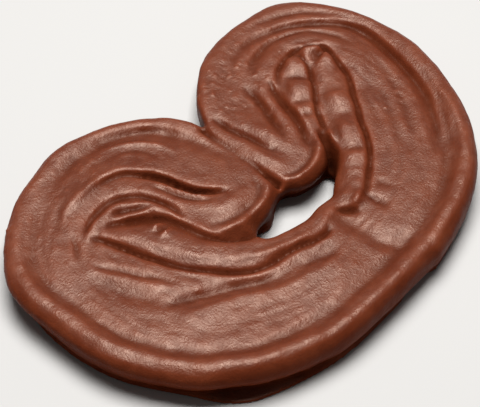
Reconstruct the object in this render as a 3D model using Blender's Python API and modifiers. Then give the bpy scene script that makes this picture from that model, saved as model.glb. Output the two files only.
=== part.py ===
"""Palmier pastry under a full coat of chocolate, as one closed solid in metres.

The X axis runs across the two rolls, +Y points from the closed edge to the cleft between the rolls,
and +Z is up, with the flat underside at Z = 0 and the origin at the middle of the footprint.

A rounded slab with the heart outline and the through hole overhangs a smaller base slab, with thin feet
of run-down chocolate beside it. The slabs are joined into one even mesh. Its top is then lifted and sunk
along the fold lines, which are smooth curves through a few points each. All sizes below are in
millimetres.
"""

import math

import bmesh
import bpy
import numpy as np

MM = 0.001

BAND_HEIGHT = 9.4  # height of the flat bands of the top
OVERHANG_BOTTOM = 1.8  # where the overhanging slab begins, above the ground
OVERHANG_ROUNDING = 2.7  # radius of its edges, at the outline and in the hole
BASE_TOP = 6.0  # the base slab ends here, inside the overhanging one
BASE_ROUNDING = 0.8
BASE_INSET = 1.3  # from the outline to the base where the wall is steepest
BASE_EXTRA_INSET = 3.4  # added to the inset on the undercut side
UNDERCUT_HEADING = math.radians(188)  # the outward direction, from +X, of the deepest undercut
HOLE_INSET = 0.3  # how much wider the hole is in the base
FOOT_HEIGHT = 2.4
FOOT_ROUNDING = 0.9
MESH_SIZE = 0.75  # spacing of the even mesh before it is thinned out
JOINT_SMOOTHING = 8  # rounds of smoothing that blend the slabs into each other
FOLD_SMOOTHING = 3  # rounds of smoothing of the finished folds
KEPT_SHARE = 0.105  # share of the triangles that the thinning keeps
CURVE_STEP = 1.4  # spacing of the points along the outline and the fold lines

# The outline starts and ends in the cleft, where the two rolls meet, and runs round the left roll first.
CLEFT = (6.4, 20.5)
OUTLINE = (
    CLEFT, (6.6, 29.8), (-1.8, 38.0), (-12.4, 42.6), (-25.0, 44.1), (-38.0, 40.2),
    (-49.8, 32.4), (-56.9, 21.7), (-59.1, 8.0), (-57.8, -7.6), (-50.9, -23.2),
    (-38.6, -35.2), (-22.2, -41.2), (-4.0, -42.6), (14.1, -42.3), (29.3, -38.5),
    (42.3, -31.6), (53.0, -20.0), (60.6, -5.8), (63.8, 8.4), (61.0, 25.4),
    (53.0, 35.8), (41.1, 39.6), (26.8, 38.7), (14.8, 31.0), CLEFT,
)
# The hole lies between the ends of the two rolls above and the folded band below.
HOLE = (
    (-12.0, -9.4), (-8.2, -6.0), (-2.0, -4.4), (3.4, -2.4), (6.8, -1.8), (10.2, -3.4), (15.4, -4.8),
    (20.6, -4.4), (18.8, -8.0), (12.4, -11.8), (6.0, -13.5), (-2.0, -13.4), (-9.0, -11.9),
)

# Chocolate that ran down the wall and set on the ground.
FEET = (
    ((-45.4, -22.0), (-47.0, -26.4), (-46.0, -30.6), (-42.8, -34.2), (-37.0, -36.4), (-30.0, -38.8),
     (-23.0, -41.0), (-17.0, -40.0), (-18.0, -34.0), (-30.0, -28.0), (-40.0, -20.0)),
    ((3.6, -39.4), (7.4, -42.2), (11.6, -41.6), (14.0, -38.6), (9.0, -35.0)),
)

RIM_INSET = 2.4  # from the outline to the crest of the raised rim
RIM_HEIGHT = 1.5
RIM_WIDTH = 1.9
RIM_GROOVE_INSET = 6.0
RIM_GROOVE_DEPTH = 0.7
RIM_GROOVE_WIDTH = 1.7
RIM_KEEPS_FROM_CLEFT = 11.0  # the rim fades out this close to the cleft

# Each fold line: height above the bands (below, if negative), half width, points from end to end.
FOLDS = {
    "seam_between_rolls": (-2.2, 1.3, ((6.4, 22.0), (5.8, 14.0), (5.6, 6.0), (5.4, -1.0))),
    "seam_of_band": (-1.0, 1.5, ((3.8, -19.0), (3.6, -27.0), (5.4, -33.0), (8.4, -38.0))),
    "left_valley": (
        -4.2, 2.2,
        ((-33.5, 18.6), (-27.0, 15.6), (-21.4, 8.6), (-18.4, 0.0), (-13.5, -8.0)),
    ),
    "left_hairpin": (
        -3.8, 1.3,
        ((-23.0, 28.0), (-15.8, 24.6), (-12.4, 18.0), (-10.0, 10.5), (-6.4, 4.6)),
    ),
    "left_lip_groove": (
        -1.3, 1.4,
        ((-37.4, 19.6), (-32.0, 22.8), (-24.6, 22.4), (-18.8, 17.4), (-17.8, 8.0)),
    ),
    "left_band_groove": (
        -2.3, 1.5,
        ((-36.8, 18.2), (-33.6, 9.0), (-29.2, -3.0), (-23.0, -13.2), (-14.0, -17.4), (-4.0, -20.4), (1.6, -20.6)),
    ),
    "left_fold_groove": (-1.0, 1.6, ((-43.0, 15.0), (-39.4, 7.6), (-36.2, 0.0), (-34.6, -9.0))),
    "bottom_groove": (
        -1.2, 1.9,
        ((-45.0, -2.0), (-39.0, -9.6), (-28.0, -15.2), (-16.0, -21.2), (-3.0, -24.6)),
    ),
    "left_outer_groove": (
        -0.9, 1.6,
        ((-41.0, 17.0), (-35.0, 27.6), (-25.0, 30.8), (-15.4, 28.6), (-11.0, 23.6)),
    ),
    "left_roll_groove": (
        -0.9, 1.4,
        ((-32.0, 37.2), (-20.0, 38.0), (-8.0, 35.4), (0.4, 27.4), (3.2, 18.0), (1.8, 7.0)),
    ),
    "left_crest": (
        1.5, 3.0,
        ((-33.4, 16.0), (-29.0, 7.0), (-25.4, -2.0), (-19.6, -10.6), (-11.0, -15.6), (-2.0, -17.6), (7.0, -17.6)),
    ),
    "right_slot": (-3.2, 1.6, ((15.0, -7.0), (20.8, -4.4), (25.4, -0.6), (28.6, 4.0))),
    "right_crevice": (-3.0, 1.3, ((21.4, -3.6), (26.6, 1.6), (30.6, 7.0), (36.0, 12.4), (41.2, 19.4))),
    "right_fold_groove": (
        -1.8, 1.5,
        ((21.4, 3.0), (25.0, 12.0), (30.6, 19.4), (37.6, 22.6), (44.0, 20.8), (46.8, 15.8), (41.6, 5.0),
         (33.6, -4.6), (24.0, -14.2), (13.6, -20.4)),
    ),
    "right_outer_groove": (
        -1.1, 2.0,
        ((27.0, 24.0), (35.0, 28.2), (44.0, 27.4), (51.0, 21.0), (53.6, 8.0), (47.0, -9.0)),
    ),
    "right_roll_groove": (-1.0, 1.3, ((9.6, 21.0), (10.2, 12.0), (9.8, 3.0))),
    "right_roll_crease": (-0.9, 1.4, ((23.0, 20.6), (19.8, 12.0), (15.8, 3.0))),
}
# The two ribbed folds beside the right crevice: the ribs are waves along the fold.
RIBBED_FOLDS = {
    "right_roll_crest": (
        1.2, 2.8,
        ((38.4, 18.4), (33.4, 14.6), (29.0, 9.6), (25.4, 4.0), (22.4, -1.4)),
    ),
    "right_crest": (
        1.9, 3.3,
        ((43.4, 17.4), (38.4, 8.8), (32.0, 0.4), (25.0, -7.2), (17.0, -13.6), (8.6, -18.0)),
    ),
}
RIB_SPACING = 6.4
RIB_SHARE = 0.45  # how much of a ribbed fold's height the ribs take away
FADE_LENGTH = 5.0  # each fold line rises from nothing over this length at either end

LOWEST_TOP = 2.4  # the folds sink no further than this above the ground

MILK_CHOCOLATE = (0.19, 0.07, 0.04, 1)
COAT_ROUGHNESS = 0.42


def clear_scene():
    for obj in list(bpy.data.objects):
        bpy.data.objects.remove(obj)


def smooth_curve(points, closed=False):
    """Points CURVE_STEP apart on a smooth curve through the given points."""
    given = np.array(points, float)
    count = len(given) if closed else len(given) - 1
    if closed:
        padded = np.vstack([given[-1:], given, given[:2]])
    else:
        padded = np.vstack([2 * given[0] - given[1], given, 2 * given[-1] - given[-2]])
    curve = []
    for i in range(count):
        before, start, end, after = padded[i : i + 4]
        steps = max(2, round(np.linalg.norm(end - start) / CURVE_STEP))
        for t in np.arange(steps)[:, None] / steps:
            curve.append(
                0.5 * (2 * start + (end - before) * t
                       + (2 * before - 5 * start + 4 * end - after) * t**2
                       + (3 * start - before - 3 * end + after) * t**3)
            )
    if not closed:
        curve.append(given[-1])
    return np.vstack(curve)


def nearest_on(curve, places):
    """For each place, its distance to the curve and how far along the curve the nearest point lies."""
    starts, steps = curve[:-1], np.diff(curve, axis=0)
    lengths = np.linalg.norm(steps, axis=1)
    along = np.concatenate([[0.0], np.cumsum(lengths)])
    distance = np.full(len(places), np.inf)
    travelled = np.zeros(len(places))
    for i, (start, step, length) in enumerate(zip(starts, steps, lengths)):
        share = np.clip((places - start) @ step / length**2, 0, 1)
        found = np.linalg.norm(places - start - share[:, None] * step, axis=1)
        nearer = found < distance
        distance[nearer] = found[nearer]
        travelled[nearer] = along[i] + share[nearer] * length
    return distance, travelled, along[-1]


def hump(distance, half_width):
    """1 on the line, falling smoothly to 0 on both sides."""
    return np.exp(-((distance / half_width) ** 2))


def fade(travelled, length):
    """0 at both ends of a fold line and 1 away from them."""
    return np.clip(np.minimum(travelled, length - travelled) / FADE_LENGTH, 0, 1)


def fold_relief(places):
    """How far each fold line lifts or sinks the top at these places."""
    relief = np.zeros(len(places))
    for height, half_width, points in FOLDS.values():
        distance, travelled, length = nearest_on(smooth_curve(points), places)
        relief += height * hump(distance, half_width) * fade(travelled, length)
    for height, half_width, points in RIBBED_FOLDS.values():
        distance, travelled, length = nearest_on(smooth_curve(points), places)
        dip = RIB_SHARE * (0.5 - 0.5 * np.cos(2 * math.pi * travelled / RIB_SPACING))
        relief += height * (1 - dip) * hump(distance, half_width) * fade(travelled, length)
    return relief


def rim_relief(places):
    """The raised rim that follows the outline, and the shallow groove inside it."""
    distance, _, _ = nearest_on(smooth_curve(OUTLINE), places)
    from_cleft = np.linalg.norm(places - np.array(CLEFT), axis=1)
    kept = np.clip(from_cleft / RIM_KEEPS_FROM_CLEFT - 1, 0, 1)
    crest = RIM_HEIGHT * hump(distance - RIM_INSET, RIM_WIDTH)
    groove = RIM_GROOVE_DEPTH * hump(distance - RIM_GROOVE_INSET, RIM_GROOVE_WIDTH)
    return kept * (crest - groove)


def add_ring(curve_data, points):
    """One closed outline of straight pieces, given in millimetres."""
    spline = curve_data.splines.new("POLY")
    spline.points.add(len(points) - 1)
    for point, (x, y) in zip(spline.points, points):
        point.co = (x * MM, y * MM, 0, 1)
    spline.use_cyclic_u = True


def inset_outline():
    """The outline of the base, which stands back from the outline most on the undercut side."""
    curve = smooth_curve(OUTLINE)[:-1]
    run = np.roll(curve, -1, axis=0) - np.roll(curve, 1, axis=0)
    outward = np.column_stack([run[:, 1], -run[:, 0]]) / np.linalg.norm(run, axis=1)[:, None]
    facing = outward @ np.array([math.cos(UNDERCUT_HEADING), math.sin(UNDERCUT_HEADING)])
    inset = BASE_INSET + BASE_EXTRA_INSET * np.clip(facing, 0, 1) ** 2
    return curve - inset[:, None] * outward


def add_slab(rings, bottom, top, rounding):
    """A slab between two heights with rounded edges. The rings are its outline and any hole."""
    data = bpy.data.curves.new("slab", "CURVE")
    data.dimensions = "2D"
    data.fill_mode = "BOTH"
    data.extrude = ((top - bottom) / 2 - rounding) * MM
    data.bevel_depth = rounding * MM
    data.bevel_resolution = 3
    data.offset = -rounding * MM
    for ring in rings:
        add_ring(data, ring)
    slab = bpy.data.objects.new("slab", data)
    bpy.context.scene.collection.objects.link(slab)
    slab.location.z = (bottom + top) / 2 * MM
    return slab


def widened(ring, extra):
    """A closed ring moved outward from its own middle."""
    middle = ring.mean(axis=0)
    reach = np.linalg.norm(ring - middle, axis=1)[:, None]
    return middle + (ring - middle) * (1 + extra / reach)


def mesh_of(obj):
    """The mesh of an object as its modifiers leave it. The object itself is removed."""
    bpy.context.view_layer.update()
    mesh = bpy.data.meshes.new_from_object(obj.evaluated_get(bpy.context.evaluated_depsgraph_get()))
    mesh.transform(obj.matrix_world)
    bpy.data.objects.remove(obj)
    return mesh


def joined_blank():
    """Overhanging slab, base and feet as one closed mesh of even squares."""
    hole = smooth_curve(HOLE, closed=True)
    slabs = [
        add_slab([smooth_curve(OUTLINE)[:-1], hole], OVERHANG_BOTTOM, BAND_HEIGHT, OVERHANG_ROUNDING),
        add_slab([inset_outline(), widened(hole, HOLE_INSET)], 0, BASE_TOP, BASE_ROUNDING),
    ]
    slabs += [add_slab([smooth_curve(foot, closed=True)], 0, FOOT_HEIGHT, FOOT_ROUNDING) for foot in FEET]
    shell = bmesh.new()
    for slab in slabs:
        shell.from_mesh(mesh_of(slab))
    mesh = bpy.data.meshes.new("blank")
    shell.to_mesh(mesh)
    shell.free()
    blank = bpy.data.objects.new("blank", mesh)
    bpy.context.scene.collection.objects.link(blank)
    remesh = blank.modifiers.new("even", "REMESH")
    remesh.mode = "VOXEL"
    remesh.voxel_size = MESH_SIZE * MM
    blend = blank.modifiers.new("blend", "SMOOTH")
    blend.iterations = JOINT_SMOOTHING
    return mesh_of(blank)


def shape_top(mesh):
    """Stretches each column of the slab so that its top follows the folds, and centres the result."""
    points = np.empty(len(mesh.vertices) * 3, np.float32)
    mesh.vertices.foreach_get("co", points)
    points = points.reshape(-1, 3).astype(float) / MM
    points[:, 2] -= points[:, 2].min()
    relief = fold_relief(points[:, :2]) + rim_relief(points[:, :2])
    top = np.maximum(BAND_HEIGHT + relief, LOWEST_TOP)
    points[:, 2] *= top / BAND_HEIGHT
    low, high = points.min(axis=0), points.max(axis=0)
    points[:, :2] -= ((low + high) / 2)[:2]
    mesh.vertices.foreach_set("co", (points * MM).astype(np.float32).ravel())
    mesh.update()


def chocolate():
    """Milk chocolate: a warm mid brown with a soft gloss."""
    material = bpy.data.materials.new("milk_chocolate")
    material.use_nodes = True
    shader = material.node_tree.nodes["Principled BSDF"]
    shader.inputs["Base Color"].default_value = MILK_CHOCOLATE
    shader.inputs["Roughness"].default_value = COAT_ROUGHNESS
    shader.inputs["Metallic"].default_value = 0
    material.diffuse_color = MILK_CHOCOLATE
    return material


def main():
    clear_scene()
    collection = bpy.data.collections.new("palmier")
    bpy.context.scene.collection.children.link(collection)
    mesh = joined_blank()
    shape_top(mesh)
    mesh.name = "palmier"
    mesh.materials.append(chocolate())
    mesh.shade_smooth()
    palmier = bpy.data.objects.new("palmier", mesh)
    collection.objects.link(palmier)
    settle = palmier.modifiers.new("settle", "SMOOTH")
    settle.iterations = FOLD_SMOOTHING
    thin = palmier.modifiers.new("thin_out", "DECIMATE")
    thin.ratio = KEPT_SHARE


main()
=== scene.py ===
"""Looks of a palmier pastry under a full coat of milk chocolate, laid out as a Blender add-on.

The dough is a flat strip rolled from both ends, so its top shows two unlike spirals, the folds between
their layers, a raised rim and a through hole. The coat is one closed mesh: rings along the outline and
the hole give the walls, folds drawn as lines across the top give the relief, and a fine unevenness of the
coat comes last. Plan sizes are in millimetres until the mesh is finished.
"""

import math
import random

import bmesh
import bpy
import numpy as np
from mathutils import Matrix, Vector, noise


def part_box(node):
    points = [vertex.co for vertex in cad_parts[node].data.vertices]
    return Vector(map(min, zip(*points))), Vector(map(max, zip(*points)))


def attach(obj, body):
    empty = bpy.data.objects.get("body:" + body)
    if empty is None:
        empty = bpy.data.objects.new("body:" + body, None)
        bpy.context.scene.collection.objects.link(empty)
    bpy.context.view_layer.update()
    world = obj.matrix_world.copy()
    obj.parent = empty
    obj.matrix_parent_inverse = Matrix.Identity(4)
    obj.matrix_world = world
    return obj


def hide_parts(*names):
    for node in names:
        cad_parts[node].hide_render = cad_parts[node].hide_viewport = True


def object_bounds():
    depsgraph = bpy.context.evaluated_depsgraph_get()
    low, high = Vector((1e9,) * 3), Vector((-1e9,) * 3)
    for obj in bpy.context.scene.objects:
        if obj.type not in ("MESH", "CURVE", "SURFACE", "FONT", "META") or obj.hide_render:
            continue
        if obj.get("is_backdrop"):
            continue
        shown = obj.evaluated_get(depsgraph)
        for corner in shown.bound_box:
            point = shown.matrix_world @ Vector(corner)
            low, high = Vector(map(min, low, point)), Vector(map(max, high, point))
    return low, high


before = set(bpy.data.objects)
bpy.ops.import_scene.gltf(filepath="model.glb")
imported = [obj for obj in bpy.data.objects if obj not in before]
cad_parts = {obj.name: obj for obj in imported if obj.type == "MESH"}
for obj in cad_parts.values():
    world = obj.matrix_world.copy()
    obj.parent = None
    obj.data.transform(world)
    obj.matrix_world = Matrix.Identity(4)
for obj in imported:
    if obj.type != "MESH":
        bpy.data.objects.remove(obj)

bl_info = {
    "name": "Coated Palmier",
    "version": (1, 0, 0),
    "blender": (4, 5, 0),
    "location": "View3D > Sidebar > Palmier",
    "description": "Models a chocolate-coated palmier pastry and a plain studio around it",
    "category": "Object",
}

MM = 0.001
NODE = "palmier"
LOW_CORNER, HIGH_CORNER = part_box(NODE)

# The wall: rings at these shares of the bands' height, each standing back from the outline as wall_inset
# says. The other numbers are in millimetres.
WALL_STEP = 0.8
WALL_LEVELS = (0, 0.015, 0.04, 0.085, 0.13, 0.16, 0.19, 0.21, 0.24, 0.28, 0.33, 0.39, 0.46, 0.53, 0.6, 0.67,
               0.73, 0.78, 0.82, 0.86, 0.9, 0.94, 0.97, 0.99, 1)
WAIST_LEVEL = 1.8
UNDERCUT_CURVE = 1.5
GROUND_ROUNDING = 0.5
HOLE_NOSE = 6.5
RELIEF_FOOT = 1.2  # below this height the relief moves nothing
LOWEST_RELIEF = -7.0
HIGHEST_RELIEF = 1.75

# The rim's crest, where the rounding of the edge ends, and the groove inside it as a share of its height.
RIM_OUTER_SPREAD = 1.6
RIM_INNER_WIDTH = 3.0
RIM_GROOVE_INSET = 6.8
RIM_GROOVE_SHARE = 0.55
RIM_GROOVE_WIDTH = 1.8
RIM_KNOBS = 0.15
RIM_KNOB_LENGTH = 3.2
# Thin layers of the dough that show through the coat, as streaks along the outline.
LAYER_HEIGHT = 0.16
LAYER_FADE = 0.15
LAYER_SPACING = 1.3
LAYER_STRETCH = 7.0

FOLD_STEP = 1.0  # between the points worked out along a fold's line

WAVER_LENGTH = 7.0
SWELL_LENGTH = 16.0
# The coat's unevenness: height, width of the bumps, seed.
COAT_WAVES = ((0.2, 9.0, 4), (0.11, 3.2, 5), (0.04, 1.5, 6))
# Painted light and shade: crests are painted paler and hollows darker, with weaker reflections in the hollows, and
# upright walls are painted darker and redder, with weaker reflections, as shade would fall on them.
HOLLOW_ROUNDS = 30
HOLLOW_DEPTH = 0.25
HOLLOW_GLOSS_SHADE = 0.9
# Painted shade in the hole: the coat's colour is darkened most of all there, from this height down and this far from
# the hole's outline.
HOLE_PAINTED_SHADE = 1.0
HOLE_SHADE_TOP = 7.5
HOLE_SHADE_FADE = 3.5
HOLE_SHADE_REACH = 7.0
UPWARD_LEVEL = 0.93
GLOSSY_FROM = 0.78  # share of that level at which the gloss sets in
UNDERSIDE_LEVEL = 0.25  # what lies lower belongs to the underside
UNDERSIDE_FACING = -0.9
UNDERSIDE_THINNING = 0.9
FRAME_CLEARANCE = 0.00002

FLOOR_REACH = 1.5
CAMERA_AIM = (-0.00852, -0.0007, 0.009)

# One row for each point of the outline, from the cleft round the larger roll first: x, y, height of the rim
# above the bands, rounding of the upper edge, height where the wall stands out furthest, and how far it
# stands back at its waist and at the ground.
OUTLINE = (
    (7.6, 22.4, 0.0, 1.6, 5.5, 0.3, 0.3), (6.9, 27.2, 0.1, 2.0, 5.5, 0.8, 0.8), (4.0, 33.0, 0.2, 2.2, 5.5, 1.4, 1.2),
    (-2.9, 39.0, 0.3, 2.4, 5.5, 2.0, 1.6), (-13.0, 43.5, 0.3, 2.4, 5.5, 2.2, 1.8),
    (-22.6, 44.9, 0.3, 2.4, 5.5, 2.4, 2.0), (-29.2, 43.3, 0.3, 2.4, 5.5, 2.6, 2.2),
    (-39.0, 40.2, 0.4, 2.4, 6.0, 3.0, 2.6), (-49.6, 32.9, 0.6, 2.6, 6.5, 3.8, 3.6),
    (-57.6, 22.5, 1.0, 3.2, 7.0, 3.8, 3.3), (-59.4, 8.0, 1.2, 3.9, 7.0, 2.0, 1.7),
    (-58.6, -7.6, 1.3, 4.1, 7.0, 2.4, 2.2), (-52.0, -23.0, 1.3, 3.8, 6.8, 3.2, 2.2),
    (-45.3, -30.0, 1.3, 3.4, 6.6, 3.4, -0.9), (-37.9, -35.5, 1.3, 3.1, 6.0, 2.8, -0.5),
    (-22.0, -41.4, 1.2, 2.8, 5.2, 1.8, 0.8), (-4.0, -42.5, 1.2, 2.6, 5.0, 1.8, 1.1),
    (5.0, -42.4, 1.2, 2.8, 4.6, 1.8, 2.1), (9.6, -42.3, 1.2, 2.9, 4.6, 1.6, 1.9),
    (14.1, -42.2, 1.2, 3.0, 4.8, 1.2, 0.8), (29.4, -38.6, 1.2, 3.0, 4.8, 1.4, 1.3),
    (42.3, -31.6, 1.1, 3.0, 5.0, 1.6, 1.3), (53.3, -20.2, 0.9, 3.0, 5.5, 2.0, 2.0),
    (61.0, -5.9, 0.7, 3.0, 5.5, 2.0, 2.0), (64.5, 8.4, 0.4, 2.8, 5.5, 2.0, 2.0),
    (61.4, 26.0, 0.2, 2.4, 5.5, 2.0, 2.0), (53.6, 36.9, 0.2, 2.4, 5.5, 2.0, 2.0),
    (41.1, 39.9, 0.2, 2.4, 5.5, 2.0, 2.0), (26.8, 38.7, 0.2, 2.2, 5.5, 1.6, 1.6),
    (14.7, 31.3, 0.2, 2.0, 5.5, 1.0, 1.0), (7.6, 22.4, 0.0, 1.6, 5.5, 0.3, 0.3),
)
# The middle of the outline's box, which comes to the middle of the node's.
PLAN_MIDDLE = (2.52, 1.2)

# The hole, between the ends of the rolls above and the folded band below: x, y, how far its wall stands
# back at the waist and at the ground.
HOLE = (
    (-10.4, -9.6, 1.6), (-7.9, -6.2, 3.4), (-2.0, -5.2, 0.2), (3.0, -3.4, 0.9), (5.8, -3.9, 2.9),
    (8.2, -5.9, 3.1), (11.2, -6.9, 2.9), (14.8, -6.8, 2.2), (17.6, -6.0, 1.0), (19.4, -5.5, 0.4),
    (18.8, -7.4, 0.8), (16.0, -9.8, 0.8), (13.2, -11.4, 0.8), (10.8, -13.0, 0.8), (8.4, -13.3, 0.8),
    (4.6, -13.1, 0.8), (1.0, -13.6, 0.8), (-2.2, -13.2, 0.8), (-6.0, -12.2, 0.8), (-9.2, -11.0, 0.8),
)

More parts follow.
